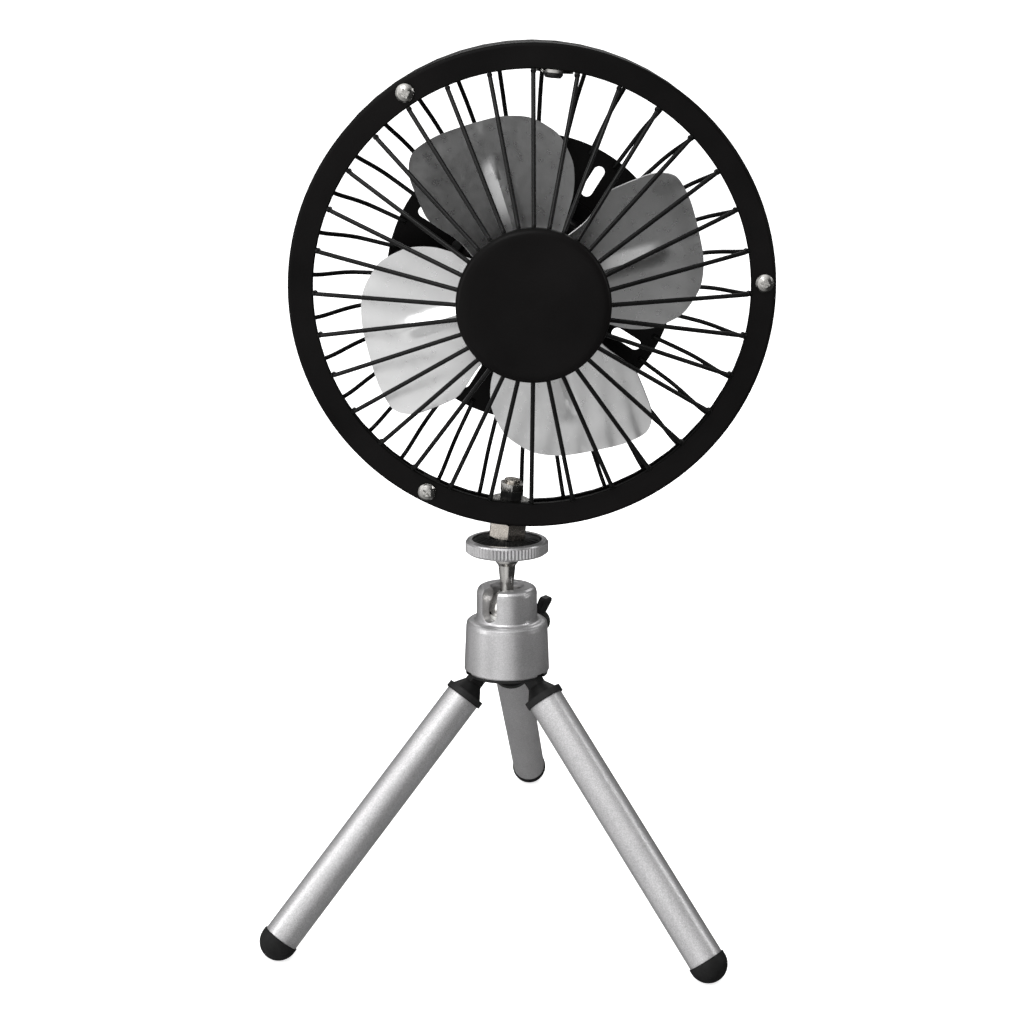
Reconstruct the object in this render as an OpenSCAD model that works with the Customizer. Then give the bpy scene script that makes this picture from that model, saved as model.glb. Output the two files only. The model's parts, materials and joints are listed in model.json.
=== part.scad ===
// Small wire-cage desk fan on a folding mini tripod.
// Millimetres, +Z up, front of the fan faces -Y, all three feet stand on Z = 0.
// The tripod body, the fan head and each leg are drawn in frames of their own
// and brought together by the placing modules below.

/* [Fan ring] */
// Outer radius of the round rim
rim_r = 73.4; // [71:0.2:76]
// Inner radius of the flat front ring
ring_in_r = 65.8; // [65:0.2:67]
// Depth of the rim from front face to rear edge
rim_depth = 14.8; // [13:0.2:18]
// Thickness of the flat front ring
ring_t = 2.0; // [1.6:0.1:2.4]
// Sheet thickness of the rim band
band_t = 1.4; // [1:0.1:1.6]

/* [Cage wires] */
// Number of wires in each cage
wire_n = 32; // [16:2:40]
// Wire radius
wire_r = 0.68; // [0.5:0.02:0.8]
// How far the front cap stands ahead of the front ring
cap_ahead = 23.7; // [20:0.5:28]
// Radius of the front cap
cap_r = 22.7; // [20:0.1:26]
// How far the rear plate stands behind the front ring's face
plate_behind = 25.4; // [25.4:0.5:30]
// Radius of the rear plate
plate_r = 45.1; // [44:0.5:48]

/* [Rotor] */
// Number of fan blades
blade_n = 4; // [3:1:4]
// Pitch of the blades from the plane of rotation
blade_pitch = 16; // [10:1:17]
// Sheet thickness of the blades
blade_t = 0.6; // [0.4:0.1:0.8]
// Radius of the motor shaft
shaft_r = 1.5; // [1:0.1:1.8]

/* [Head pose] */
// Sideways roll of the fan head on its nut
head_roll = 5.4; // [0:0.1:6]
// Forward nod of the fan head on the tripod
head_nod = 3.28; // [0:0.1:4]
// Turn of the fan head about the upright
head_turn = 0.54; // [-10:0.1:10]
// Height of the ring's centre above the rubber pad
head_h = 78.83; // [78:0.1:82]

/* [Tripod] */
// Spread of the front left leg from the body's axis
spread_left = 41.4; // [0:0.1:50]
// Spread of the front right leg from the body's axis
spread_right = 39.75; // [0:0.1:50]
// Spread of the rear leg from the body's axis
spread_rear = 50.5; // [0:0.1:50.5]
// Turn of the leg set about the body's axis
legs_turn = 5.17; // [-10:0.1:10]
// Outer radius of a leg tube
tube_r = 5.66; // [5:0.05:5.7]
// Distance from a leg's hinge pin to the end of its tube
leg_len = 105.85; // [80:1:140]
// Distance of a hinge pin from the body's axis
pin_off = 7.6; // [7.6:0.1:8]

/* [Hidden] */
$fn = 64;

// Heights in the tripod body's frame
body_bot = -12.83;
step_z = 3.69;
turret_top = 14.7;
ball_z = 7.5;
wheel_top = 30.04;
pad_z = 31.0;
pin_z = -11.4;
clamp_z = -1.0;
slot_az = 36.5;      // the slot points front-left, the clamp rear-right
foot_r = 6.05;       // radius of a foot's dome
foot_c = leg_len + 1.15;
foot_flat = 0.25;    // depth of the flat under each foot
bolt_y = 8;          // fore-and-aft place of the mounting bolt behind the front ring's face
eps = 0.02;          // clearance left between pieces that touch

// Leg azimuths from straight back, turning to the right
az_rear = legs_turn;
az_right = legs_turn + 120;
az_left = legs_turn + 240;

function leg_pt(az, sp, d) = [
  sin(az) * (pin_off + d * sin(sp)),
  cos(az) * (pin_off + d * sin(sp)),
  pin_z - d * cos(sp)];
pL = leg_pt(az_left, spread_left, foot_c);
pR = leg_pt(az_right, spread_right, foot_c);
pB = leg_pt(az_rear, spread_rear, foot_c);
fn0 = cross(pR - pL, pB - pL);
fnorm = fn0 / norm(fn0);
stand_ang = acos(fnorm[2]);
stand_ax = stand_ang < 0.0001 ? [1, 0, 0] : cross(fnorm, [0, 0, 1]);
stand_h = -(fnorm * pL) + foot_r - foot_flat;
// Centring of the whole object over the origin
cx = -1.81;
cy = -13.97;

// ---- placing modules ----
module stand() { translate([cx, cy, stand_h]) rotate(a = stand_ang, v = stand_ax) children(); }
module head() { stand() translate([0, 0, pad_z]) rotate([0, 0, head_turn]) rotate([head_nod, 0, 0]) rotate([0, head_roll, 0]) children(); }
// Fan frame: origin at the ring's centre on the front face, +Y runs to the rear
module fan() { head() translate([0, -bolt_y, head_h]) children(); }
// Lathe along the fan's axis: the profile is [radius, distance behind the front face]
module turned(pts) { fan() rotate([-90, 0, 0]) rotate_extrude() polygon(pts); }
module rod_y(r, y0, y1) { translate([0, y0, 0]) rotate([-90, 0, 0]) cylinder(r = r, h = y1 - y0); }
// A leg's frame: origin on its pin, +Z down the tube, +X outwards
module leg(az, sp) { stand() rotate([0, 0, 90 - az]) translate([pin_off, 0, pin_z]) rotate([0, 180 - sp, 0]) children(); }
module clamp() { stand() rotate([0, 0, 90 - slot_az]) translate([0, 0, clamp_z]) rotate([0, 90, 0]) children(); }

// ---- shapes used again ----
module hex(af, h) { rotate([0, 0, 30]) cylinder(r = af / (2 * cos(30)), h = h, $fn = 6); }
module hex_solid(af, h, c = 0.4) {
  intersection() {
    hex(af, h);
    rotate_extrude() polygon([[0, 0], [af / 2 + 0.1, 0], [af / 2 + 0.1 + c, c * 0.6], [af / 2 + 0.1 + c, h - c * 0.6], [af / 2 + 0.1, h], [0, h]]);
  }
}
module hex_nut(af, h, hole) {
  difference() {
    hex_solid(af, h);
    translate([0, 0, -1]) cylinder(r = hole, h = h + 2);
  }
}
module slot2d(r0, r1, w) {
  translate([r0 + w / 2, -w / 2]) square([r1 - r0 - w, w]);
  translate([r0 + w / 2, 0]) circle(r = w / 2);
  translate([r1 - w / 2, 0]) circle(r = w / 2);
}

// A bent round wire: a tube of 8 sides through points [radius, depth] at angle a
function dir2(p, i) = let(n = len(p), u = p[min(i + 1, n - 1)] - p[max(i - 1, 0)]) u / norm(u);
module wire(p, a, r) {
  n = len(p); s = 8;
  v = [for (i = [0:n - 1]) let(t = dir2(p, i), m = [-t[1], t[0]])
        for (k = [0:s - 1]) let(q = 360 * (k + 0.5) / s,
          rr = p[i][0] + r * cos(q) * m[0], yy = p[i][1] + r * cos(q) * m[1], w = r * sin(q))
          [rr * cos(a) - w * sin(a), yy, rr * sin(a) + w * cos(a)]];
  f = concat([[for (k = [0:s - 1]) k]],
             [for (i = [0:n - 2]) for (k = [0:s - 1]) [i * s + k, (i + 1) * s + k, (i + 1) * s + (k + 1) % s, i * s + (k + 1) % s]],
             [[for (k = [s - 1:-1:0]) (n - 1) * s + k]]);
  polyhedron(points = v, faces = f, convexity = 2);
}

front_path = [[ring_in_r - wire_r - eps, 1.7], [ring_in_r - wire_r - eps, -0.3], [ring_in_r - 1.3, -1.5], [ring_in_r - 3.2, -2.6],
              [cap_r + 2.2, -(cap_ahead - 5.1)], [cap_r + 0.4, -(cap_ahead - 4.15)], [cap_r - 2.2, -(cap_ahead - 4.0)]];
rear_path = [[rim_r - 3.4, rim_depth + wire_r + eps], [rim_r - 6.4, rim_depth + wire_r + 0.2], [rim_r - 9.0, rim_depth + 2.2],
             [rim_r - 13.5, rim_depth + 6.6], [rim_r - 16.5, plate_behind - 1.9], [rim_r - 20, plate_behind - wire_r - 0.2], [plate_r - 2.2, plate_behind - wire_r - eps]];

// ---- tripod body and its inside ----
module tripod_body() color([0.62, 0.62, 0.63]) stand() difference() {
  rotate_extrude() polygon([[0, body_bot + 0.6], [12.9, body_bot], [13.3, body_bot + 0.1], [13.56, body_bot + 0.5], [13.3, -6], [12.95, 1.8],
    [12.75, 3.0], [12.2, 3.5], [11.4, step_z], [10.6, step_z], [10.05, 3.9], [9.75, 4.4], [9.62, 5.2], [9.55, 12.6],
    [9.35, 13.6], [8.85, 14.3], [8.1, turret_top], [0, turret_top]]);
  translate([0, 0, ball_z]) sphere(r = 6.06);
  translate([0, 0, -20]) cylinder(r = 6.3, h = 20 + ball_z - 0.6);
  translate([0, 0, body_bot - 1]) cylinder(r = 12.45, h = -6.2 - body_bot + 1);
  translate([0, 0, ball_z]) cylinder(r = 4.4, h = 20);
  translate([0, 0, turret_top - 1.0]) cylinder(r1 = 4.4, r2 = 5.4, h = 1.01);
  rotate([0, 0, 270 - slot_az]) {
    translate([0, -2.85, ball_z]) cube([20, 5.7, 20]);
    translate([0, 0, ball_z]) rotate([0, 90, 0]) cylinder(r = 2.85, h = 20);
  }
  rotate([0, 0, 90 - slot_az]) translate([0, 0, clamp_z]) rotate([0, 90, 0]) cylinder(r = 2.5, h = 20);
  // notches in the lower edge for the leg tongues
  for (az = [az_rear, az_right, az_left]) rotate([0, 0, 90 - az]) translate([11, -2.2, body_bot - 2]) cube([5, 4.4, 2.75]);
}

module ball_seat() color([0.9, 0.9, 0.88]) stand() difference() {
  translate([0, 0, 1.6]) cylinder(r = 6.0, h = 4.2);
  translate([0, 0, ball_z]) sphere(r = 6.04);
  translate([0, 0, 0]) cylinder(r = 2.6, h = 10);
}

module hinge_block() color([0.05, 0.05, 0.05]) stand() difference() {
  union() {
    translate([0, 0, body_bot - 0.9]) cylinder(r = 13.1, h = 0.88);
    translate([0, 0, body_bot - 0.5]) cylinder(r = 12.4, h = -6.25 - body_bot + 0.5);
  }
  for (az = [az_rear, az_right, az_left]) rotate([0, 0, 90 - az]) {
    translate([3.9, -2.15, -30]) cube([12, 4.3, 22.4]);
    translate([pin_off, 5.4, pin_z]) rotate([90, 0, 0]) cylinder(r = 1.0, h = 10.8);
  }
}

module hinge_pins() color([0.7, 0.7, 0.72]) stand()
  for (az = [az_rear, az_right, az_left]) rotate([0, 0, 90 - az])
    translate([pin_off, 5.2, pin_z]) rotate([90, 0, 0]) cylinder(r = 1.0 - eps, h = 10.4);

// ---- clamp ----
module clamp_screw() color([0.7, 0.68, 0.62]) clamp() {
  translate([0, 0, 4.2]) cylinder(r = 2.44, h = 10.6);
  translate([0, 0, 3.0]) cylinder(r1 = 1.4, r2 = 2.44, h = 1.2);
  translate([0, 0, 14.8]) cylinder(r = 1.9, h = 5.6);
  translate([0, 0, 20.4]) cylinder(r1 = 1.9, r2 = 1.3, h = 0.9);
}

module clamp_wing() color([0.05, 0.05, 0.05]) clamp() rotate([0, 0, 12]) difference() {
  union() {
    translate([0, 0, 14.9]) cylinder(r = 3.4, h = 4.2);
    // two flat wings, narrower at the root
    for (m = [0, 180]) rotate([0, 0, m]) translate([0, 1.05, 0]) rotate([90, 0, 0]) linear_extrude(2.1)
      polygon([[0, 15.1], [3, 15.1], [7.4, 16.6], [8.2, 17.4], [8.2, 20.4], [7.5, 21.2], [6.6, 21.2], [3.2, 19.0], [0, 19.0]]);
  }
  translate([0, 0, 10]) cylinder(r = 1.94, h = 20);
}

// ---- legs ----
module leg_plug(az, sp) color([0.05, 0.05, 0.05]) leg(az, sp) difference() {
  union() {
    translate([0, 2.0, 0]) rotate([90, 0, 0]) cylinder(r = 2.2, h = 4.0);
    translate([-2.2, -2.0, 0]) cube([4.4, 4.0, 9.7]);
    translate([0, 0, 6.4]) cylinder(r1 = 3.0, r2 = 5.2, h = 3.26);
    translate([0, 0, 9.65]) cylinder(r = 6.3, h = 2.18);
    translate([0, 0, 11.8]) cylinder(r = tube_r - 0.75, h = 9);
  }
  translate([0, 6, 0]) rotate([90, 0, 0]) cylinder(r = 1.04, h = 12);
  // flats that clear the block above the pin
  translate([-20, 2.0, -20]) cube([40, 20, 26.3]);
  translate([-20, -22.0, -20]) cube([40, 20, 26.3]);
}
module leg_tube(az, sp) color([0.66, 0.66, 0.67]) leg(az, sp) translate([0, 0, 11.85]) difference() {
  cylinder(r = tube_r, h = leg_len - 11.85);
  translate([0, 0, -1]) cylinder(r = tube_r - 0.7, h = leg_len);
}
module leg_foot(az, sp) color([0.04, 0.04, 0.04]) difference() {
  leg(az, sp) {
    difference() {
      union() {
        translate([0, 0, foot_c]) sphere(r = foot_r);
        translate([0, 0, leg_len + 0.02]) cylinder(r = foot_r - 0.001, h = foot_c - leg_len - 0.02);
      }
      translate([0, 0, leg_len - 40]) cylinder(r = 20, h = 40.02);
    }
    translate([0, 0, leg_len - 8]) cylinder(r = tube_r - 0.75, h = 8.5);
  }
  translate([-200, -200, -20]) cube([400, 400, 20]);
}
module left_leg_plug() leg_plug(az_left, spread_left);
module left_leg_tube() leg_tube(az_left, spread_left);
module left_leg_foot() leg_foot(az_left, spread_left);
module right_leg_plug() leg_plug(az_right, spread_right);
module right_leg_tube() leg_tube(az_right, spread_right);
module right_leg_foot() leg_foot(az_right, spread_right);
module rear_leg_plug() leg_plug(az_rear, spread_rear);
module rear_leg_tube() leg_tube(az_rear, spread_rear);
module rear_leg_foot() leg_foot(az_rear, spread_rear);

// ---- ball stud and platform ----
module ball_stud() color([0.72, 0.71, 0.68]) stand() {
  translate([0, 0, ball_z]) sphere(r = 6.0);
  rotate_extrude() polygon([[0, ball_z + 5], [2.15, ball_z + 5], [2.15, 15.5], [2.75, 21.5], [3.6, 22.6], [3.7, 22.9], [3.7, 23.3], [0, 23.3]]);
  translate([0, 0, 23.2]) cylinder(r = 2.0, h = 4.58);
}

knurl_n = 72;
module platform_wheel() color([0.6, 0.6, 0.61]) stand() difference() {
  union() {
    rotate_extrude() polygon([[0, 23.32], [4.2, 23.32], [12.3, 25.7], [12.75, 26.1], [12.75, 29.3], [12.6, 29.75], [12.1, wheel_top], [0, wheel_top]]);
    translate([0, 0, 26.2]) linear_extrude(3.0) polygon([for (i = [0:knurl_n * 2 - 1])
      let(r = i % 2 == 0 ? 13.1 : 12.72, a = 180 * i / knurl_n) [r * cos(a), r * sin(a)]]);
  }
  translate([0, 0, 27.8]) cylinder(r = 11.0, h = 5);
  translate([0, 0, 20]) cylinder(r = 2.0 + eps, h = 10);
}

module platform_pad() color([0.05, 0.05, 0.05]) difference() {
  stand() rotate_extrude() polygon([[3.75, 27.82], [10.95, 27.82], [10.95, 29.5], [10.2, 29.75], [6.6, 31.9], [3.75, 31.9]]);
  head() translate([-20, -20, -eps]) cube([40, 40, 10]);
}

module tripod_screw() color([0.7, 0.69, 0.66]) head() {
  translate([0, 0, -2.75]) cylinder(r = 3.1, h = 5.55);
  translate([0, 0, 2.8]) cylinder(r1 = 3.1, r2 = 2.5, h = 0.6);
}

// ---- nut and bolt that carry the fan ----
coup_h = head_h - rim_r - eps;
module hex_coupler() color([0.78, 0.74, 0.66]) head() difference() {
  union() {
    hex_solid(11.1, coup_h, 0.7);
    translate([0, 0, coup_h - 1.0]) cylinder(r = 2.44, h = 18.6 - coup_h + 1.0);
  }
  translate([0, 0, -1]) cylinder(r = 3.175, h = 4.7);
}
module mount_spacer() color([0.05, 0.05, 0.05]) head() difference() {
  translate([0, 0, head_h - rim_r + band_t - 0.5]) cylinder(r = 4.6, h = 11.3 - (head_h - rim_r + band_t - 0.5) - eps);
  cylinder(r = 2.5, h = 20);
  translate([0, 20, head_h]) rotate([90, 0, 0]) difference() { cylinder(r = 100, h = 40); translate([0, 0, -1]) cylinder(r = rim_r - band_t - eps, h = 42); }
}
module mount_washer() color([0.7, 0.7, 0.7]) head() translate([0, 0, 11.3]) difference() {
  cylinder(r = 5.85, h = 1.0);
  translate([0, 0, -1]) cylinder(r = 2.5, h = 3);
}
module mount_nut() color([0.05, 0.05, 0.05]) head() translate([0, 0, 12.32]) hex_nut(6.6, 2.8, 2.46);
module mount_jam_nut() color([0.75, 0.74, 0.7]) head() translate([0, 0, 15.14]) hex_nut(7.0, 2.4, 2.46);

// ---- blind fixing point opposite the mount ----
module top_spacer() color([0.05, 0.05, 0.05]) head() difference() {
  translate([0, 0, head_h + 66.3 + eps]) cylinder(r = 4.6, h = 6.0);
  translate([0, 0, head_h + 60]) cylinder(r = 1.6, h = 20);
  translate([0, 20, head_h]) rotate([90, 0, 0]) difference() { cylinder(r = 100, h = 40); translate([0, 0, -1]) cylinder(r = rim_r - band_t - eps, h = 42); }
}
module top_washer() color([0.7, 0.7, 0.7]) head() translate([0, 0, head_h + 64.7]) difference() {
  cylinder(r = 5.85, h = 1.6);
  translate([0, 0, -1]) cylinder(r = 1.7, h = 4);
}
module top_screw() color([0.05, 0.05, 0.05]) head() {
  translate([0, 0, head_h + 64.7 - eps - 1.7]) difference() {
    union() { cylinder(r1 = 2.3, r2 = 2.9, h = 0.8); translate([0, 0, 0.8]) cylinder(r = 2.9, h = 0.9); }
    for (a = [0, 90]) rotate([0, 0, a]) translate([-1.5, -0.3, -0.5]) cube([3, 0.6, 1.3]);
  }
  translate([0, 0, head_h + 64.6]) cylinder(r = 1.5, h = 8.4);
}

// ---- rim ----
screw_r = 69.7;
screw_az = [7.9, 127.9, 247.9];
module at_screws() for (a = screw_az) rotate([0, -a, 0]) translate([screw_r, 0, 0]) children();
module rim_band() color([0.05, 0.05, 0.05]) fan() difference() {
  union() {
    difference() {
      rod_y(rim_r, ring_t + eps, rim_depth);
      rod_y(rim_r - band_t, 0, rim_depth - 1.4);
      rod_y(rim_r - 5.2, 0, rim_depth + 1);
    }
    at_screws() translate([-2.8, ring_t + eps, -2.8]) cube([5.4, 6, 5.6]);
  }
  at_screws() rod_y(1.5, 0, 9);
  translate([0, bolt_y, -80]) cylinder(r = 2.5, h = 20);
  translate([0, bolt_y, 60]) cylinder(r = 1.6, h = 20);
}
module front_ring() color([0.05, 0.05, 0.05]) fan() difference() {
  rotate([-90, 0, 0]) rotate_extrude() polygon([[ring_in_r, 0.3], [ring_in_r + 0.3, 0], [rim_r - 1.1, 0], [rim_r - 0.6, 0.15], [rim_r - 0.15, 0.6], [rim_r, 1.1], [rim_r, ring_t], [ring_in_r, ring_t]]);
  at_screws() rod_y(1.6, -1, 4);
}
module ring_screws() color([0.75, 0.75, 0.74]) fan() at_screws() {
  difference() {
    rotate([-90, 0, 0]) rotate_extrude() polygon([[0, -1.75], [1.2, -1.65], [2.2, -1.2], [2.75, -0.6], [2.85, -0.2], [2.85, -eps], [0, -eps]]);
    for (a = [15, 105]) rotate([0, a, 0]) translate([-1.4, -3, -0.28]) cube([2.8, 2.2, 0.56]);
  }
  rod_y(1.46, -0.1, 7.8);
}

// ---- cages ----
front_phase = 5.4;   // turn of the front wires in the fan's own frame
rear_phase = 2.9;
module front_wires() color([0.04, 0.04, 0.04]) fan()
  for (i = [0:wire_n - 1]) wire(front_path, front_phase + i * 360 / wire_n, wire_r);
module rear_wires() color([0.04, 0.04, 0.04]) fan()
  for (i = [0:wire_n - 1]) wire(rear_path, rear_phase + i * 360 / wire_n, wire_r);

module front_cap() color([0.04, 0.04, 0.04]) turned([
  [0, -cap_ahead], [cap_r - 2.0, -cap_ahead + 0.1], [cap_r - 1.1, -cap_ahead + 0.35], [cap_r - 0.4, -cap_ahead + 0.9], [cap_r, -cap_ahead + 1.7],
  [cap_r, -cap_ahead + 3.25], [cap_r - 1.2, -cap_ahead + 3.25], [cap_r - 1.2, -cap_ahead + 1.6], [0, -cap_ahead + 1.4]]);
module cap_plate() color([0.06, 0.06, 0.06]) turned([[0, -cap_ahead + 4.8], [cap_r - 0.5, -cap_ahead + 4.8], [cap_r - 0.5, -cap_ahead + 5.75], [0, -cap_ahead + 5.75]]);

slot_az_p = [63.2, 153.2, 243.2, 333.2];
grom = [0, -18.5];
module rear_plate() color([0.05, 0.05, 0.05]) fan() translate([0, plate_behind, 0]) rotate([-90, 0, 0]) difference() {
  linear_extrude(1.2) difference() {
    circle(r = plate_r);
    for (a = slot_az_p) rotate([0, 0, -a]) slot2d(30.5, 40.9, 3.6);
    for (a = [0, 90, 180, 270]) rotate([0, 0, a + 20]) translate([25.5, 0]) circle(r = 1.6);
    circle(r = 4.0);
    translate([grom[0], -grom[1]]) circle(r = 2.4);
  }
}
module plate_screws() color([0.1, 0.1, 0.1]) fan() for (a = [0, 90, 180, 270]) rotate([0, a + 20, 0]) translate([25.5, 0, 0]) {
  difference() {
    rod_y(2.7, plate_behind + 1.2 + eps, plate_behind + 2.9);
    for (k = [0, 90]) rotate([0, k, 0]) translate([-1.4, plate_behind + 2.1, -0.28]) cube([2.8, 2, 0.56]);
  }
  rod_y(1.44, plate_behind - 3.6, plate_behind + 1.3);
}
module cable_grommet() color([0.03, 0.03, 0.03]) fan() translate([grom[0], plate_behind, grom[1]]) rotate([-90, 0, 0]) difference() {
  union() {
    translate([0, 0, -0.9]) cylinder(r = 3.1, h = 0.88);
    translate([0, 0, -0.1]) cylinder(r = 2.36, h = 1.4);
    translate([0, 0, 1.22]) cylinder(r1 = 3.9, r2 = 2.8, h = 2.2);
  }
  translate([0, 0, -3]) cylinder(r = 1.4, h = 10);
}

// ---- motor ----
house_r = 23;
hf = 9.6;            // front face of the motor housing
module motor_housing() color([0.05, 0.05, 0.05]) fan() difference() {
  rotate([-90, 0, 0]) rotate_extrude() polygon([[6.0, hf], [house_r - 1.5, hf], [house_r - 0.4, hf + 0.4], [house_r, hf + 1.5], [house_r, plate_behind - 1.3],
    [28, plate_behind - 1.3], [28, plate_behind - eps], [house_r - 1.1, plate_behind - eps], [house_r - 1.1, hf + 1.2], [6.0, hf + 1.2]]);
  for (a = [0, 90, 180, 270]) rotate([0, a + 20, 0]) translate([25.5, 0, 0]) rod_y(1.5, 0, 40);
  for (a = [90, 270]) rotate([0, a, 0]) translate([10, 0, 0]) rod_y(1.4, 0, 14);
}
mf = hf + 1.2 + eps;  // front face of the motor can
me = 23.0;            // rear edge of the motor can
module motor_can() color([0.66, 0.66, 0.67]) fan() difference() {
  rod_y(15, mf, me);
  rod_y(14, mf + 1.2, me + 1);
  rod_y(3.53, mf - 1, mf + 3);
  for (a = [90, 270]) rotate([0, a, 0]) translate([10, 0, 0]) rod_y(1.25, 0, 14);
}
module motor_screws() color([0.7, 0.7, 0.7]) fan() for (a = [90, 270]) rotate([0, a, 0]) translate([10, 0, 0]) {
  difference() {
    rod_y(2.3, hf - 1.0, hf - eps);
    translate([-1.8, hf - 1.5, -0.25]) cube([3.6, 0.9, 0.5]);
  }
  rod_y(1.2, hf - 0.1, mf + 1.1);
}
module motor_magnets() color([0.2, 0.2, 0.21]) fan() difference() {
  rod_y(13.96, mf + 2.2, me - 1.6);
  rod_y(11.7, mf, me);
  // gaps between the two arcs
  for (m = [0, 180]) rotate([0, m, 0]) translate([0, mf, 0]) rotate([-90, 0, 0]) linear_extrude(30) polygon([[0, 0], [40, -23], [40, 23]]);
}
module bush(y0, y1) { difference() { rod_y(3.5, y0, y1); rod_y(shaft_r + 0.03, y0 - 1, y1 + 1); } }
module front_bush() color([0.72, 0.55, 0.3]) fan() bush(mf - 0.6, mf + 1.9);
module rear_bush() color([0.72, 0.55, 0.3]) fan() bush(me + 0.6, me + 2.3);
module motor_end_cap() color([0.85, 0.85, 0.82]) fan() difference() {
  union() { rod_y(15, me + eps, me + 2.3); rod_y(13.9, me - 1.2, me + 0.3); }
  rod_y(3.53, me - 4, me + 5);
  rod_y(12, me - 4, me + 0.5);
}
module motor_brushes() color([0.75, 0.5, 0.3]) fan() for (m = [0, 180]) rotate([0, m, 0])
  translate([3.3, me - 1.8, -1.2]) cube([8.4, 2.25, 2.4]);

// ---- rotor ----
rot_y = 3.6;          // mid-plane of the blades behind the ring's front face
module motor_shaft() color([0.75, 0.75, 0.76]) fan() rod_y(shaft_r, rot_y - 4.2, me + 1.9);
module armature_core() color([0.5, 0.5, 0.52]) fan() translate([0, mf + 3.2, 0]) rotate([-90, 0, 0]) linear_extrude(6.0) difference() {
  union() {
    circle(r = 4.4);
    difference() { circle(r = 11.3); circle(r = 9.8); for (a = [0, 120, 240]) rotate([0, 0, a]) translate([9, -0.9]) square([3, 1.8]); }
    for (a = [60, 180, 300]) rotate([0, 0, a]) translate([0, -2]) square([10.3, 4]);
  }
  circle(r = shaft_r + eps);
}
module armature_coils() color([0.72, 0.38, 0.2]) fan() for (a = [60, 180, 300]) rotate([0, a, 0]) translate([5.2, mf + 2.3, -3.1]) difference() {
  cube([3.6, 7.8, 6.2]);
  translate([-1, 0.88, 1.08]) cube([6, 6.04, 4.04]);
}
module commutator() color([0.75, 0.45, 0.25]) fan() difference() {
  rod_y(3.2, mf + 9.6, me - 0.2);
  rod_y(shaft_r + eps, mf, me + 2);
}
module blade_hub() color([0.75, 0.6, 0.32]) fan() difference() {
  union() { rod_y(5.8, rot_y + 0.5 + eps, rot_y + 1.7); rod_y(4.2, rot_y + 0.6, mf - 0.8); }
  rod_y(shaft_r + eps, 0, 20);
}
module hub_nut() color([0.72, 0.7, 0.66]) fan() translate([0, rot_y - 0.5 - eps - 2.4, 0]) rotate([-90, 0, 0]) hex_nut(5.5, 2.4, shaft_r + eps);

// Outline of one blade in polar form: radius and angle from its stiffening rib
blade_pts = [[8, 60], [20, 42], [27, 37], [35, 37.2], [38.5, 36.6], [42, 34.2], [45.2, 32], [50, 29], [53, 26], [54.6, 23.2], [54.9, 20], [54.4, 14], [53.4, 7], [52.8, 0],
  [52.6, -6], [52, -12], [51, -17], [48.8, -22.5], [46.2, -27.6], [41, -33.6], [37, -37], [32, -40], [27.5, -41.5], [20, -44], [8, -60]];
function pol(p) = [p[0] * cos(p[1]), p[0] * sin(p[1])];
rib_az = 22.6;        // angle of the first rib
module fan_blades() color([0.75, 0.75, 0.76]) fan() difference() {
  union() {
    rod_y(11, rot_y - 0.5, rot_y + 0.5);
    for (k = [0:blade_n - 1]) rotate([0, -(rib_az + k * 360 / blade_n), 0]) intersection() {
      translate([0, rot_y + 20, 0]) rotate([90, 0, 0]) linear_extrude(40) polygon([for (p = blade_pts) pol(p)]);
      translate([6, rot_y, 0]) rotate([blade_pitch, 0, 0]) translate([0, -blade_t / 2, -60]) cube([60, blade_t, 120]);
    }
  }
  rod_y(shaft_r + eps, -20, 30);
}

tripod_body();
ball_seat();
hinge_block();
hinge_pins();
clamp_screw();
clamp_wing();
left_leg_plug();
left_leg_tube();
left_leg_foot();
right_leg_plug();
right_leg_tube();
right_leg_foot();
rear_leg_plug();
rear_leg_tube();
rear_leg_foot();
ball_stud();
platform_wheel();
platform_pad();
tripod_screw();
hex_coupler();
mount_spacer();
mount_washer();
mount_nut();
mount_jam_nut();
top_spacer();
top_washer();
top_screw();
rim_band();
front_ring();
ring_screws();
front_wires();
front_cap();
cap_plate();
rear_wires();
rear_plate();
plate_screws();
cable_grommet();
motor_housing();
motor_can();
motor_screws();
motor_magnets();
front_bush();
rear_bush();
motor_end_cap();
motor_brushes();
motor_shaft();
armature_core();
armature_coils();
commutator();
blade_hub();
fan_blades();
hub_nut();
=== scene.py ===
import bpy, bmesh, math, json, random
import numpy as np
from mathutils import Vector, Matrix
from mathutils.geometry import delaunay_2d_cdt


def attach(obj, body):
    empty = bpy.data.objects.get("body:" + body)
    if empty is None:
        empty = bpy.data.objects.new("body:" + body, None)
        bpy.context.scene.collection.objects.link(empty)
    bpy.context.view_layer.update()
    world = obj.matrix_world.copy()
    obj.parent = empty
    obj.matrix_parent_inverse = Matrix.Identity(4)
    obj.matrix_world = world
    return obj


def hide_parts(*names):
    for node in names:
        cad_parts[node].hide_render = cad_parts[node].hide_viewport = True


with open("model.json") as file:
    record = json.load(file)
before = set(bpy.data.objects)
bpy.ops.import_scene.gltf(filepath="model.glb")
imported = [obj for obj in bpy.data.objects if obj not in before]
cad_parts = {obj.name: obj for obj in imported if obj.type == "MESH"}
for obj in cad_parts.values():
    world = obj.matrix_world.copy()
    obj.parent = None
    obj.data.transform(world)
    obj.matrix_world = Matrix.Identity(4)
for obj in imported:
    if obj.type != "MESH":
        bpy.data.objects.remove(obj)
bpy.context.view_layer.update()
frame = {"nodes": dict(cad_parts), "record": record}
NODES = frame["nodes"]

# ------------------------------------------------------------------ placing
S = lambda d: math.sin(math.radians(d))
C = lambda d: math.cos(math.radians(d))
CX, CY = -1.81, -13.97
PIN_OFF, PIN_Z, FOOT_C, FOOT_R, FLAT = 7.6, -11.4, 107.0, 6.05, 0.25
SPREAD = dict(left=41.4, right=39.75, rear=50.5)
AZ = dict(rear=5.17, right=125.17, left=245.17)


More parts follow.
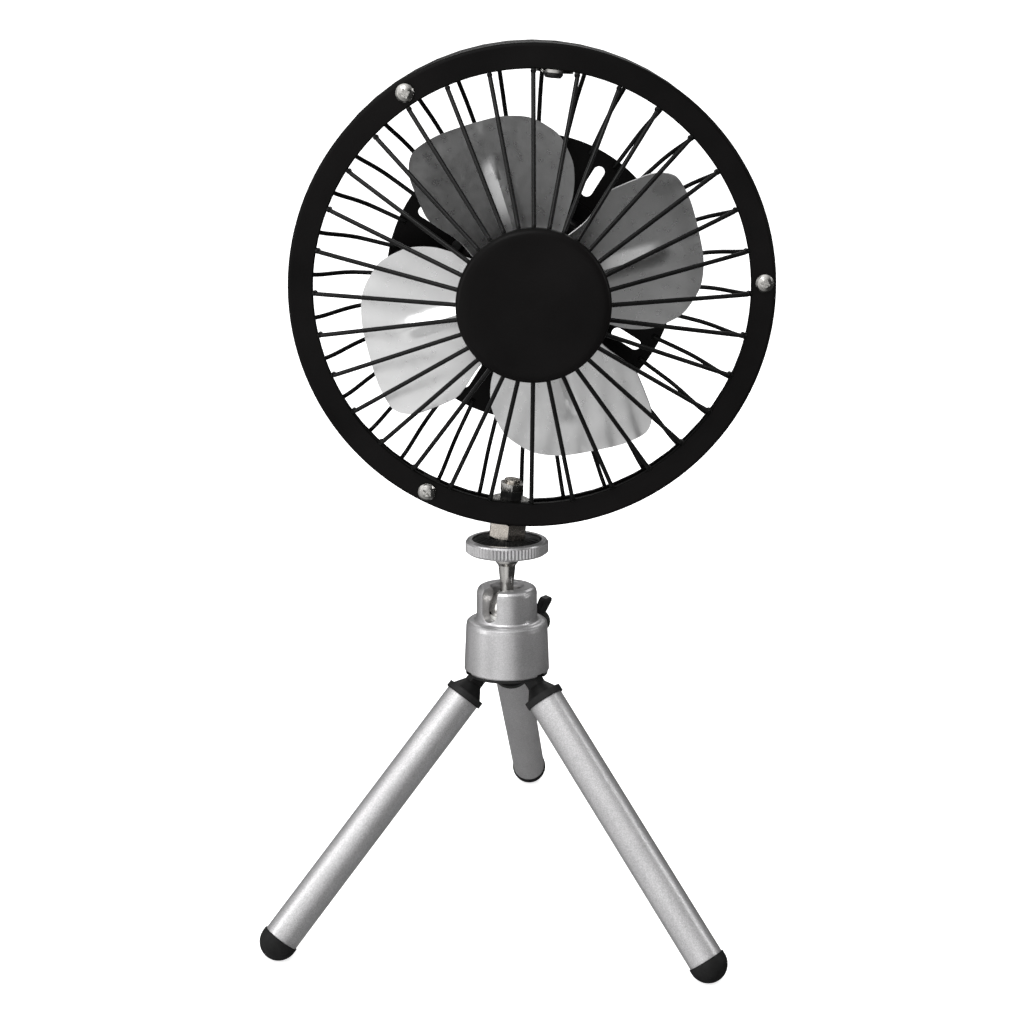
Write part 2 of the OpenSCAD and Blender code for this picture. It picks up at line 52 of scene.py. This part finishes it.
def leg_pt(k, d):
    r = PIN_OFF + d * S(SPREAD[k])
    return np.array([S(AZ[k]) * r, C(AZ[k]) * r, PIN_Z - d * C(SPREAD[k])])


_P = {k: leg_pt(k, FOOT_C) for k in SPREAD}
_n = np.cross(_P["right"] - _P["left"], _P["rear"] - _P["left"]); _n /= np.linalg.norm(_n)
_a = math.acos(_n[2]); _v = np.cross(_n, [0, 0, 1]); _v /= np.linalg.norm(_v)
_K = np.array([[0, -_v[2], _v[1]], [_v[2], 0, -_v[0]], [-_v[1], _v[0], 0]])
RB = np.eye(3) + math.sin(_a) * _K + (1 - math.cos(_a)) * _K @ _K
TB = np.array([CX, CY, -(_n @ _P["left"]) + FOOT_R - FLAT])
rx = lambda a: np.array([[1, 0, 0], [0, C(a), -S(a)], [0, S(a), C(a)]])
ry = lambda a: np.array([[C(a), 0, S(a)], [0, 1, 0], [-S(a), 0, C(a)]])
rz = lambda a: np.array([[C(a), -S(a), 0], [S(a), C(a), 0], [0, 0, 1]])
RH = rz(0.54) @ rx(3.28) @ ry(5.4)


def B(p):      # tripod body frame (mm) -> world (m)
    return (RB @ np.asarray(p, float).T).T / 1000 + TB / 1000 if np.ndim(p) == 1 else (np.asarray(p, float) @ RB.T + TB) / 1000


def H(p):      # head frame
    p = np.asarray(p, float)
    return B(p @ RH.T + np.array([0, 0, 31.0]))


def F(p):      # fan frame: origin ring centre on the front face, +Y to the rear
    return H(np.asarray(p, float) + np.array([0, -8.0, 78.83]))


# ------------------------------------------------------------------ camera
cam_data = bpy.data.cameras.new("cam")
cam = bpy.data.objects.new("cam", cam_data)
bpy.context.scene.collection.objects.link(cam)
cr = RB @ np.array([0.99999842, 0.0004026, 0.0017325])
cu = RB @ np.array([-0.0017786, 0.2263511, 0.9740442])
cf = RB @ np.array([0.0, 0.9740457, -0.2263514])
cp = B([1.57398, -597.71298, 177.52573])
M = Matrix(((cr[0], cu[0], -cf[0], cp[0]), (cr[1], cu[1], -cf[1], cp[1]), (cr[2], cu[2], -cf[2], cp[2]), (0, 0, 0, 1)))
cam.matrix_world = M
cam_data.sensor_width = 36.0
cam_data.lens = 1952.76 / 1024 * 36.0
cam_data.clip_start = 0.01
cam_data.clip_end = 60
bpy.context.scene.camera = cam

# ------------------------------------------------------------------ materials


def new_mat(name):
    m = bpy.data.materials.new(name)
    m.use_nodes = True
    nt = m.node_tree
    bsdf = nt.nodes.get("Principled BSDF")
    return m, nt, bsdf


def setin(b, key, val):
    if key in b.inputs:
        b.inputs[key].default_value = val


def surface(name, col, rough, metal=0.0, spec=0.5, col_var=0.12, col_scale=60, rough_var=0.08, rough_scale=250,
            bump=0.0, bump_scale=900, coat=0.0, coat_rough=0.15, bevel=0.0, stretch=None, dust=0.0, sparkle=0.0, ior=1.5):
    """Colour, roughness and bump all come from noise at their own scale."""
    m, nt, b = new_mat(name)
    N, L = nt.nodes, nt.links
    tc = N.new("ShaderNodeTexCoord")
    mp = N.new("ShaderNodeMapping")
    if stretch:
        mp.inputs["Scale"].default_value = stretch
    L.new(tc.outputs["Object"], mp.inputs["Vector"])
    n1 = N.new("ShaderNodeTexNoise"); n1.inputs["Scale"].default_value = col_scale; n1.inputs["Detail"].default_value = 5
    n2 = N.new("ShaderNodeTexNoise"); n2.inputs["Scale"].default_value = rough_scale; n2.inputs["Detail"].default_value = 4
    L.new(tc.outputs["Object"], n1.inputs["Vector"]); L.new(mp.outputs["Vector"], n2.inputs["Vector"])
    cr_ = N.new("ShaderNodeValToRGB")
    lo = [max(0, c * (1 - col_var)) for c in col] + [1]
    hi = [min(1, c * (1 + col_var)) for c in col] + [1]
    cr_.color_ramp.elements[0].position = 0.3; cr_.color_ramp.elements[0].color = lo
    cr_.color_ramp.elements[1].position = 0.7; cr_.color_ramp.elements[1].color = hi
    L.new(n1.outputs["Fac"], cr_.inputs["Fac"])
    out_col = cr_.outputs["Color"]
    if sparkle > 0:     # metallic flake in the paint
        vo = N.new("ShaderNodeTexVoronoi"); vo.inputs["Scale"].default_value = 5200
        L.new(tc.outputs["Object"], vo.inputs["Vector"])
        sp = N.new("ShaderNodeSeparateColor"); L.new(vo.outputs["Color"], sp.inputs["Color"])
        r1 = N.new("ShaderNodeMapRange"); r1.inputs["From Min"].default_value = 0.0; r1.inputs["From Max"].default_value = 1.0
        r1.inputs["To Min"].default_value = 1 - sparkle; r1.inputs["To Max"].default_value = 1 + sparkle
        L.new(sp.outputs["Red"], r1.inputs["Value"])
        mx = N.new("ShaderNodeMix"); mx.data_type = "RGBA"; mx.blend_type = "MULTIPLY"; mx.inputs["Factor"].default_value = 1.0
        L.new(out_col, mx.inputs["A"]); L.new(r1.outputs["Result"], mx.inputs["B"])
        out_col = mx.outputs["Result"]
    if dust > 0:        # wear along edges
        ge = N.new("ShaderNodeNewGeometry")
        r2 = N.new("ShaderNodeMapRange"); r2.inputs["From Min"].default_value = 0.52; r2.inputs["From Max"].default_value = 0.62
        r2.inputs["To Min"].default_value = 0.0; r2.inputs["To Max"].default_value = dust
        L.new(ge.outputs["Pointiness"], r2.inputs["Value"])
        mu = N.new("ShaderNodeMath"); mu.operation = "MULTIPLY"; L.new(r2.outputs["Result"], mu.inputs[0]); L.new(n2.outputs["Fac"], mu.inputs[1])
        mx2 = N.new("ShaderNodeMix"); mx2.data_type = "RGBA"; L.new(mu.outputs[0], mx2.inputs["Factor"])
        L.new(out_col, mx2.inputs["A"]); mx2.inputs["B"].default_value = (0.3, 0.3, 0.3, 1)
        out_col = mx2.outputs["Result"]
    L.new(out_col, b.inputs["Base Color"])
    rr = N.new("ShaderNodeMapRange")
    rr.inputs["From Min"].default_value = 0.3; rr.inputs["From Max"].default_value = 0.7
    rr.inputs["To Min"].default_value = max(0.03, rough - rough_var); rr.inputs["To Max"].default_value = min(1, rough + rough_var)
    L.new(n2.outputs["Fac"], rr.inputs["Value"]); L.new(rr.outputs["Result"], b.inputs["Roughness"])
    setin(b, "Metallic", metal); setin(b, "Specular IOR Level", spec); setin(b, "IOR", ior)
    setin(b, "Coat Weight", coat); setin(b, "Coat Roughness", coat_rough)
    normal = None
    if bevel > 0:
        bv = N.new("ShaderNodeBevel"); bv.samples = 4; bv.inputs["Radius"].default_value = bevel
        normal = bv.outputs["Normal"]
    if bump > 0:
        n3 = N.new("ShaderNodeTexNoise"); n3.inputs["Scale"].default_value = bump_scale; n3.inputs["Detail"].default_value = 3
        L.new(mp.outputs["Vector"], n3.inputs["Vector"])
        bp = N.new("ShaderNodeBump"); bp.inputs["Strength"].default_value = bump; bp.inputs["Distance"].default_value = 0.0004
        L.new(n3.outputs["Fac"], bp.inputs["Height"])
        if normal is not None:
            L.new(normal, bp.inputs["Normal"])
        normal = bp.outputs["Normal"]
    if normal is not None:
        L.new(normal, b.inputs["Normal"])
    return m


MAT = {
    "cast_silver": surface("cast_silver", (0.46, 0.455, 0.46), 0.33, metal=0.8, col_var=0.05, col_scale=120, rough_var=0.05, rough_scale=700, bump=0.10, bump_scale=2600, coat=0.12, bevel=0.00035, sparkle=0.16),
    "leg_silver": surface("leg_silver", (0.46, 0.455, 0.46), 0.36, metal=0.75, col_var=0.05, col_scale=90, rough_var=0.05, rough_scale=900, bump=0.12, bump_scale=3200, coat=0.10, bevel=0.0002, sparkle=0.22),
    "bright_steel": surface("bright_steel", (0.50, 0.49, 0.47), 0.22, metal=1.0, col_var=0.08, col_scale=300, rough_var=0.08, rough_scale=800, bump=0.05, bump_scale=1800, bevel=0.0002),
    "nickel": surface("nickel", (0.54, 0.50, 0.45), 0.24, metal=1.0, col_var=0.10, col_scale=260, rough_var=0.08, rough_scale=900, bump=0.08, bump_scale=1500, bevel=0.0003),
    "black_plastic": surface("black_plastic", (0.006, 0.006, 0.006), 0.42, spec=0.16, col_var=0.25, col_scale=200, bump=0.15, bump_scale=2400, bevel=0.0004, dust=0.05),
    "black_rubber": surface("black_rubber", (0.006, 0.006, 0.006), 0.55, spec=0.16, col_var=0.3, col_scale=300, rough_var=0.1, bump=0.2, bump_scale=2200, bevel=0.0003),
    "black_paint": surface("black_paint", (0.0035, 0.0032, 0.0032), 0.33, spec=0.05, col_var=0.3, col_scale=45, rough_var=0.06, rough_scale=160, bump=0.04, bump_scale=1400, bevel=0.0003),
    "black_wire": surface("black_wire", (0.004, 0.004, 0.004), 0.30, spec=0.14, col_var=0.3, col_scale=150, rough_var=0.08, rough_scale=300, bump=0.10, bump_scale=900),
    "black_steel": surface("black_steel", (0.02, 0.02, 0.02), 0.35, metal=0.4, spec=0.4, bump=0.1, bevel=0.0002),
    "white_plastic": surface("white_plastic", (0.75, 0.75, 0.72), 0.5, bump=0.05),
    "motor_steel": surface("motor_steel", (0.5, 0.5, 0.5), 0.3, metal=1.0, bump=0.05, bump_scale=1500),
    "magnet": surface("magnet", (0.05, 0.05, 0.055), 0.6, metal=0.3, bump=0.2),
    "bronze": surface("bronze", (0.5, 0.33, 0.15), 0.4, metal=1.0, bump=0.15),
    "copper": surface("copper", (0.6, 0.27, 0.12), 0.35, metal=1.0, bump=0.25, bump_scale=2500),
    "brass": surface("brass", (0.62, 0.46, 0.2), 0.3, metal=1.0, bump=0.08),
    "blade_aluminium": surface("blade_aluminium", (0.56, 0.56, 0.56), 0.30, metal=0.97, col_var=0.05, col_scale=60, rough_var=0.04, rough_scale=420),
}
slot_of = {s["node"]: s["material_slot"] for s in frame["record"]["subparts"]}
for n, o in NODES.items():
    m = MAT[slot_of[n]]
    if not o.material_slots:
        o.data.materials.append(m)
    for i in range(len(o.material_slots)):
        o.material_slots[i].material = m

# ------------------------------------------------------------------ mesh tools


def make(name, verts, faces, mat, body, node=None, smooth=True, auto=35):
    me = bpy.data.meshes.new(name)
    me.from_pydata([tuple(v) for v in verts], [], faces)
    me.validate()
    bm = bmesh.new(); bm.from_mesh(me)
    bmesh.ops.remove_doubles(bm, verts=bm.verts, dist=1e-7)
    bmesh.ops.recalc_face_normals(bm, faces=bm.faces)
    for f in bm.faces:
        f.smooth = smooth
    if smooth and auto:
        for e in bm.edges:
            if len(e.link_faces) == 2 and e.calc_face_angle(0) > math.radians(auto):
                e.smooth = False
    bm.to_mesh(me); bm.free()
    me.update()
    o = bpy.data.objects.new(name, me)
    bpy.context.scene.collection.objects.link(o)
    o.data.materials.append(MAT[mat])
    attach(o, body)
    if node:
        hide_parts(*([node] if isinstance(node, str) else node))
    return o


def catmull(P, k):
    P = np.asarray(P, float)
    Q = np.vstack([2 * P[0] - P[1], P, 2 * P[-1] - P[-2]])
    out = []
    for i in range(1, len(Q) - 2):
        for j in range(k):
            t = j / k
            out.append(0.5 * ((2 * Q[i]) + (-Q[i - 1] + Q[i + 1]) * t + (2 * Q[i - 1] - 5 * Q[i] + 4 * Q[i + 1] - Q[i + 2]) * t * t
                              + (-Q[i - 1] + 3 * Q[i] - 3 * Q[i + 1] + Q[i + 2]) * t ** 3))
    out.append(P[-1])
    return np.array(out)


def tube(P, r, n=12, up=None):
    """Tube round points P (N,3) with rounded ends; returns verts and faces."""
    P = np.asarray(P, float)
    T = np.gradient(P, axis=0); T /= np.linalg.norm(T, axis=1)[:, None]
    u = np.cross(T[0], [0.3, 0.2, 0.9]); u /= np.linalg.norm(u)
    V, Fc = [], []
    rings = []
    prof = [(-r * 0.96, 0.28), (-r * 0.8, 0.62), (-r * 0.45, 0.9)]
    for d, s in prof:
        rings.append((P[0] + T[0] * d * 0.6 , T[0], r * s))
    for i in range(len(P)):
        rings.append((P[i], T[i], r))
    for d, s in reversed(prof):
        rings.append((P[-1] - T[-1] * d * 0.6, T[-1], r * s))
    for c, t, rr in rings:
        u = u - t * np.dot(u, t); u /= np.linalg.norm(u)
        w = np.cross(t, u)
        for k in range(n):
            a = 2 * math.pi * k / n
            V.append(c + rr * (u * math.cos(a) + w * math.sin(a)))
    R = len(rings)
    for i in range(R - 1):
        for k in range(n):
            Fc.append((i * n + k, i * n + (k + 1) % n, (i + 1) * n + (k + 1) % n, (i + 1) * n + k))
    Fc.append(tuple(range(n))[::-1]); Fc.append(tuple((R - 1) * n + k for k in range(n)))
    return V, Fc


def ball(c, r, ax=None, n=10, m=6, flat=1.0):
    V, Fc = [], []
    for i in range(m + 1):
        th = math.pi * i / m
        for k in range(n):
            a = 2 * math.pi * k / n
            V.append(np.array(c) + r * np.array([math.sin(th) * math.cos(a), math.cos(th) * flat, math.sin(th) * math.sin(a)]))
    for i in range(m):
        for k in range(n):
            Fc.append((i * n + k, i * n + (k + 1) % n, (i + 1) * n + (k + 1) % n, (i + 1) * n + k))
    return V, Fc


class Acc:
    def __init__(s): s.V, s.F = [], []
    def add(s, vf):
        b = len(s.V); s.V += list(vf[0]); s.F += [tuple(i + b for i in f) for f in vf[1]]


rnd = random.Random(7)
# ------------------------------------------------------------------ cages
RIM_R, RING_IN, RIM_D, WR = 73.4, 65.8, 14.8, 0.68
CAP_AHEAD, CAP_R, PLATE_B, PLATE_R = 23.7, 22.7, 25.4, 45.1
FRONT = [[RING_IN - WR - 0.02, 1.7], [RING_IN - WR - 0.02, -0.3], [RING_IN - 1.3, -1.5], [RING_IN - 3.2, -2.6],
         [46, -9.75], [CAP_R + 2.2, -(CAP_AHEAD - 5.1)], [CAP_R + 0.4, -(CAP_AHEAD - 4.15)], [CAP_R - 2.2, -(CAP_AHEAD - 4.0)]]
REAR = [[RIM_R - 3.4, RIM_D + WR + 0.02], [RIM_R - 6.4, RIM_D + WR + 0.2], [RIM_R - 9.0, RIM_D + 2.2],
        [RIM_R - 13.5, RIM_D + 6.6], [RIM_R - 16.5, PLATE_B - 1.9], [RIM_R - 20, PLATE_B - WR - 0.2], [PLATE_R - 2.2, PLATE_B - WR - 0.02]]


def cage(path, phase, k, jit):
    acc = Acc()
    for i in range(32):
        a = phase + i * 11.25
        j1, j2 = rnd.uniform(-jit, jit), rnd.uniform(-jit, jit)
        p = catmull(path, k)
        p = np.array(p)
        s = np.linspace(0, 1, len(p))
        ang = np.radians(a + (j1 * (1 - s) + j2 * s))
        pts = np.stack([p[:, 0] * np.cos(ang), p[:, 1], p[:, 0] * np.sin(ang)], 1)
        acc.add(tube(pts, WR))
    return acc


acc = cage(FRONT, 5.4, 5, 0.12)
make("front_cage_wires", F(np.array(acc.V)), acc.F, "black_wire", "fan_head", "front_wires")
acc = cage(REAR, 2.9, 6, 0.15)
make("rear_cage_wires", F(np.array(acc.V)), acc.F, "black_wire", "fan_head", "rear_wires")
# weld nuggets at the ring
acc = Acc()
for i in range(32):
    a = math.radians(5.4 + i * 11.25)
    r = RING_IN - 0.55
    acc.add(ball((r * math.cos(a), -0.25, r * math.sin(a)), 0.88 + rnd.uniform(-0.06, 0.08)))
make("front_welds", F(np.array(acc.V)), acc.F, "black_wire", "fan_head")

# ------------------------------------------------------------------ rotor
ROT_Y, PITCH, BT = 3.6, 16.0, 0.6
BP = [[20, 42], [27, 37], [35, 37.2], [38.5, 36.6], [42, 34.2], [45.2, 32], [50, 29], [53, 26], [54.6, 23.2], [54.9, 20], [54.4, 14], [53.4, 7], [52.8, 0],
      [52.6, -6], [52, -12], [51, -17], [48.8, -22.5], [46.2, -27.6], [41, -33.6], [37, -37], [32, -40], [27.5, -41.5], [20, -44]]


def smooth01(t):
    t = min(1, max(0, t)); return t * t * (3 - 2 * t)


def blade_y(x, s):
    r = math.hypot(x, s)
    w = smooth01((r - 9.5) / 12)
    y = ROT_Y - s * math.tan(math.radians(PITCH)) * w
    y -= 0.0016 * s * s * w                              # slight scoop towards the front
    tap = smooth01((r - 10) / 6) * smooth01((43.5 - x) / 8)
    y -= 1.25 * tap * max(0.0, 1 - abs(s) / 3.6) ** 1.25  # pressed stiffening rib
    y += 0.35 * smooth01((r - 46) / 8) * (1 if s > 0 else 0.6)
    return y


def blade_mesh():
    out = [np.array([p[0] * C(p[1]), p[0] * S(p[1])]) for p in BP]
    cl = catmull(np.array(out), 4)
    root_n = 10
    a0, a1 = math.atan2(cl[-1][1], cl[-1][0]), math.atan2(cl[0][1], cl[0][0])
    root = [np.array([10.6 * math.cos(t), 10.6 * math.sin(t)]) for t in np.linspace(math.radians(-44.8), math.radians(44.8), root_n)]
    poly = [Vector(p) for p in cl] + [Vector(p) for p in root]
    pts = list(poly); n = len(poly)
    from mathutils.geometry import intersect_point_tri_2d
    h = 1.15
    P = np.array([[p[0], p[1]] for p in poly])

    def inside(x, y):
        c = False; j = n - 1
        for i in range(n):
            if (P[i][1] > y) != (P[j][1] > y) and x < (P[j][0] - P[i][0]) * (y - P[i][1]) / (P[j][1] - P[i][1]) + P[i][0]:
                c = not c
            j = i
        return c
    A, Bq = P, np.roll(P, -1, axis=0)

    def edge_gap(x, y):
        d = Bq - A; q = np.array([x, y]) - A
        t = np.clip((q * d).sum(1) / np.maximum((d * d).sum(1), 1e-9), 0, 1)
        return np.min(np.hypot(*(A + d * t[:, None] - [x, y]).T))
    ny = int(80 / h)
    for iy in range(-ny // 2, ny // 2 + 1):
        y = iy * h * 0.8
        for ix in range(int(60 / h)):
            x = 8 + ix * h + (0.5 * h if iy % 2 else 0)
            if inside(x, y) and edge_gap(x, y) > 0.6:
                pts.append(Vector((x, y)))
    vs, es, fs, *_ = delaunay_2d_cdt(pts, [], [list(range(n))], 1, 1e-5)
    return [(v[0], v[1]) for v in vs], [tuple(f) for f in fs]


bv, bf = blade_mesh()
acc = Acc()
for k in range(4):
    a = math.radians(22.6 + 90 * k)
    V = []
    for x, s in bv:
        y = blade_y(x, s)
        V.append(np.array([x * math.cos(a) - s * math.sin(a), y, x * math.sin(a) + s * math.cos(a)]))
    acc.add((V, bf))
# hub disc of the stamping
V, Fc = [], []
rr = [1.6, 4, 7, 9.2, 10.6, 11.6]
nn = 96
for r in rr:
    for k in range(nn):
        a = 2 * math.pi * k / nn
        V.append(np.array([r * math.cos(a), ROT_Y - (0.0 if r < 9 else 0.0), r * math.sin(a)]))
for i in range(len(rr) - 1):
    for k in range(nn):
        Fc.append((i * nn + k, i * nn + (k + 1) % nn, (i + 1) * nn + (k + 1) % nn, (i + 1) * nn + k))
disc = Acc(); disc.add((V, Fc))
bl = make("rotor_blades", F(np.array(acc.V)), acc.F, "blade_aluminium", "rotor", "fan_blades", auto=50)
so = bl.modifiers.new("t", "SOLIDIFY"); so.thickness = BT / 1000; so.offset = 0
hb = make("rotor_disc", F(np.array([v + np.array([0, 0.0, 0]) for v in disc.V])), disc.F, "blade_aluminium", "rotor", auto=50)
so = hb.modifiers.new("t", "SOLIDIFY"); so.thickness = 0.9 / 1000; so.offset = 0
for o in (bl, hb):
    bpy.context.view_layer.update()
    dg = bpy.context.evaluated_depsgraph_get()
    me = bpy.data.meshes.new_from_object(o.evaluated_get(dg))
    o.modifiers.clear()
    bm = bmesh.new(); bm.from_mesh(me)
    for e in bm.edges:
        e.smooth = not (len(e.link_faces) == 2 and e.calc_face_angle(0) > math.radians(40))
    bm.to_mesh(me); bm.free()
    o.data = me

# ------------------------------------------------------------------ front cap, a clean domed-edge pressing
V, Fc = [], []
nn = 160
prof = [(0.6, -CAP_AHEAD + 0.12), (8, -CAP_AHEAD + 0.12), (14, -CAP_AHEAD + 0.12), (18.5, -CAP_AHEAD + 0.14), (CAP_R - 2.6, -CAP_AHEAD + 0.2), (CAP_R - 1.7, -CAP_AHEAD + 0.34), (CAP_R - 1.0, -CAP_AHEAD + 0.62),
        (CAP_R - 0.5, -CAP_AHEAD + 1.0), (CAP_R - 0.14, -CAP_AHEAD + 1.5), (CAP_R - 0.02, -CAP_AHEAD + 2.0), (CAP_R - 0.02, -CAP_AHEAD + 3.2), (CAP_R - 1.15, -CAP_AHEAD + 3.2), (CAP_R - 1.2, -CAP_AHEAD + 1.7), (0.6, -CAP_AHEAD + 1.45)]
for r, y in prof:
    for k in range(nn):
        a = 2 * math.pi * k / nn
        V.append(np.array([r * math.cos(a), y, r * math.sin(a)]))
for i in range(len(prof) - 1):
    for k in range(nn):
        Fc.append((i * nn + k, i * nn + (k + 1) % nn, (i + 1) * nn + (k + 1) % nn, (i + 1) * nn + k))
Fc.append(tuple(range(nn))); Fc.append(tuple((len(prof) - 1) * nn + k for k in range(nn))[::-1])
make("cap_face", F(np.array(V)), Fc, slot_of["front_cap"], "fan_head", "front_cap")

# ------------------------------------------------------------------ ridged rubber pad
V, Fc = [], []
NT = 288
prof = [(3.8, 27.84), (10.9, 27.84), (10.93, 28.2), (10.93, 29.2), (10.7, 29.45), (10.2, 29.6), (9.4, 29.85), (8.4, 30.2), (7.5, 30.55), (6.9, 30.8), (6.3, 30.86), (5.2, 30.9), (3.8, 30.9)]
top = RH.T  # head frame limits the crown under the nut
for i, (r, z) in enumerate(prof):
    for k in range(NT):
        a = 2 * math.pi * k / NT
        zz = z
        if i >= 5 and r > 6.4:
            ridge = 0.5 + 0.5 * math.cos(a * 24)
            zz = z - 0.55 * (1 - ridge ** 0.6)
        p = np.array([r * math.cos(a), r * math.sin(a), zz])
        q = (p - np.array([0, 0, 31.0])) @ RH      # into the head frame
        if q[2] > -0.05:
            q[2] = -0.05; p = q @ RH.T + np.array([0, 0, 31.0])
        V.append(p)
n_ = len(prof)
for i in range(n_):
    j = (i + 1) % n_
    for k in range(NT):
        Fc.append((i * NT + k, i * NT + (k + 1) % NT, j * NT + (k + 1) % NT, j * NT + k))
make("ridged_pad", B(np.array(V)), Fc, "black_rubber", "platform", "platform_pad")

# ------------------------------------------------------------------ stage
me = bpy.data.meshes.new("floor")
me.from_pydata([(-9, -9, 0), (9, -9, 0), (9, 9, 0), (-9, 9, 0)], [], [(0, 1, 2, 3)])
floor = bpy.data.objects.new("floor", me)
bpy.context.scene.collection.objects.link(floor)
fm, nt, b = new_mat("floor_mat")
b.inputs["Base Color"].default_value = (0.93, 0.93, 0.93, 1)
b.inputs["Roughness"].default_value = 0.9
setin(b, "Specular IOR Level", 0.0)
b.inputs["Emission Color"].default_value = (1, 1, 1, 1); b.inputs["Emission Strength"].default_value = 0.7
floor.data.materials.append(fm)
floor.visible_glossy = False

w = bpy.data.worlds.new("world")
bpy.context.scene.world = w
w.use_nodes = True
N, L = w.node_tree.nodes, w.node_tree.links
bg = N.get("Background")
tc = N.new("ShaderNodeTexCoord")
total = None
for d, lo, hi, gain in (((-0.10, -0.985, -0.10), 0.79, 0.978, 0.75), ((-0.35, -0.45, 0.82), 0.42, 0.9, 0.9), ((-1, -0.2, 0.1), 0.2, 0.95, 0.45), ((-0.5, -0.6, -0.6), 0.5, 0.95, 0.32), ((0, 0.2, 1), 0.25, 0.9, 0.45)):
    dn = Vector(d).normalized()
    vm = N.new("ShaderNodeVectorMath"); vm.operation = "DOT_PRODUCT"; vm.inputs[1].default_value = dn
    L.new(tc.outputs["Generated"], vm.inputs[0])
    mr = N.new("ShaderNodeMapRange"); mr.inputs["From Min"].default_value = lo; mr.inputs["From Max"].default_value = hi
    mr.inputs["To Min"].default_value = 0.0; mr.inputs["To Max"].default_value = gain; mr.interpolation_type = "SMOOTHSTEP"
    L.new(vm.outputs["Value"], mr.inputs["Value"])
    ad = N.new("ShaderNodeMath"); ad.operation = "ADD"
    if total is None:
        ad.inputs[0].default_value = 0.045
    else:
        L.new(total, ad.inputs[0])
    L.new(mr.outputs["Result"], ad.inputs[1])
    total = ad.outputs[0]
L.new(total, bg.inputs["Strength"])
bg.inputs["Color"].default_value = (1, 1, 1, 1)


def area(name, loc, target, size, power, col=(1, 1, 1)):
    d = bpy.data.lights.new(name, "AREA"); d.shape = "RECTANGLE"; d.size, d.size_y = size; d.energy = power; d.color = col
    o = bpy.data.objects.new(name, d)
    bpy.context.scene.collection.objects.link(o)
    o.location = loc
    o.rotation_euler = (Vector(target) - Vector(loc)).to_track_quat("-Z", "Y").to_euler()
    return o


area("key", (-0.25, -0.55, 0.95), (0, 0, 0.15), (0.5, 0.4), 3.6)
area("left", (-0.9, -0.35, 0.35), (0, 0, 0.12), (0.3, 0.7), 2.0)
area("right", (0.8, -0.1, 0.45), (0, 0, 0.15), (0.12, 0.6), 1.2)
area("back", (0.1, 0.8, 0.7), (0, 0, 0.15), (0.7, 0.4), 1.8)
bpy.context.scene.view_settings.view_transform = "Standard"
bpy.context.scene.view_settings.look = "None"
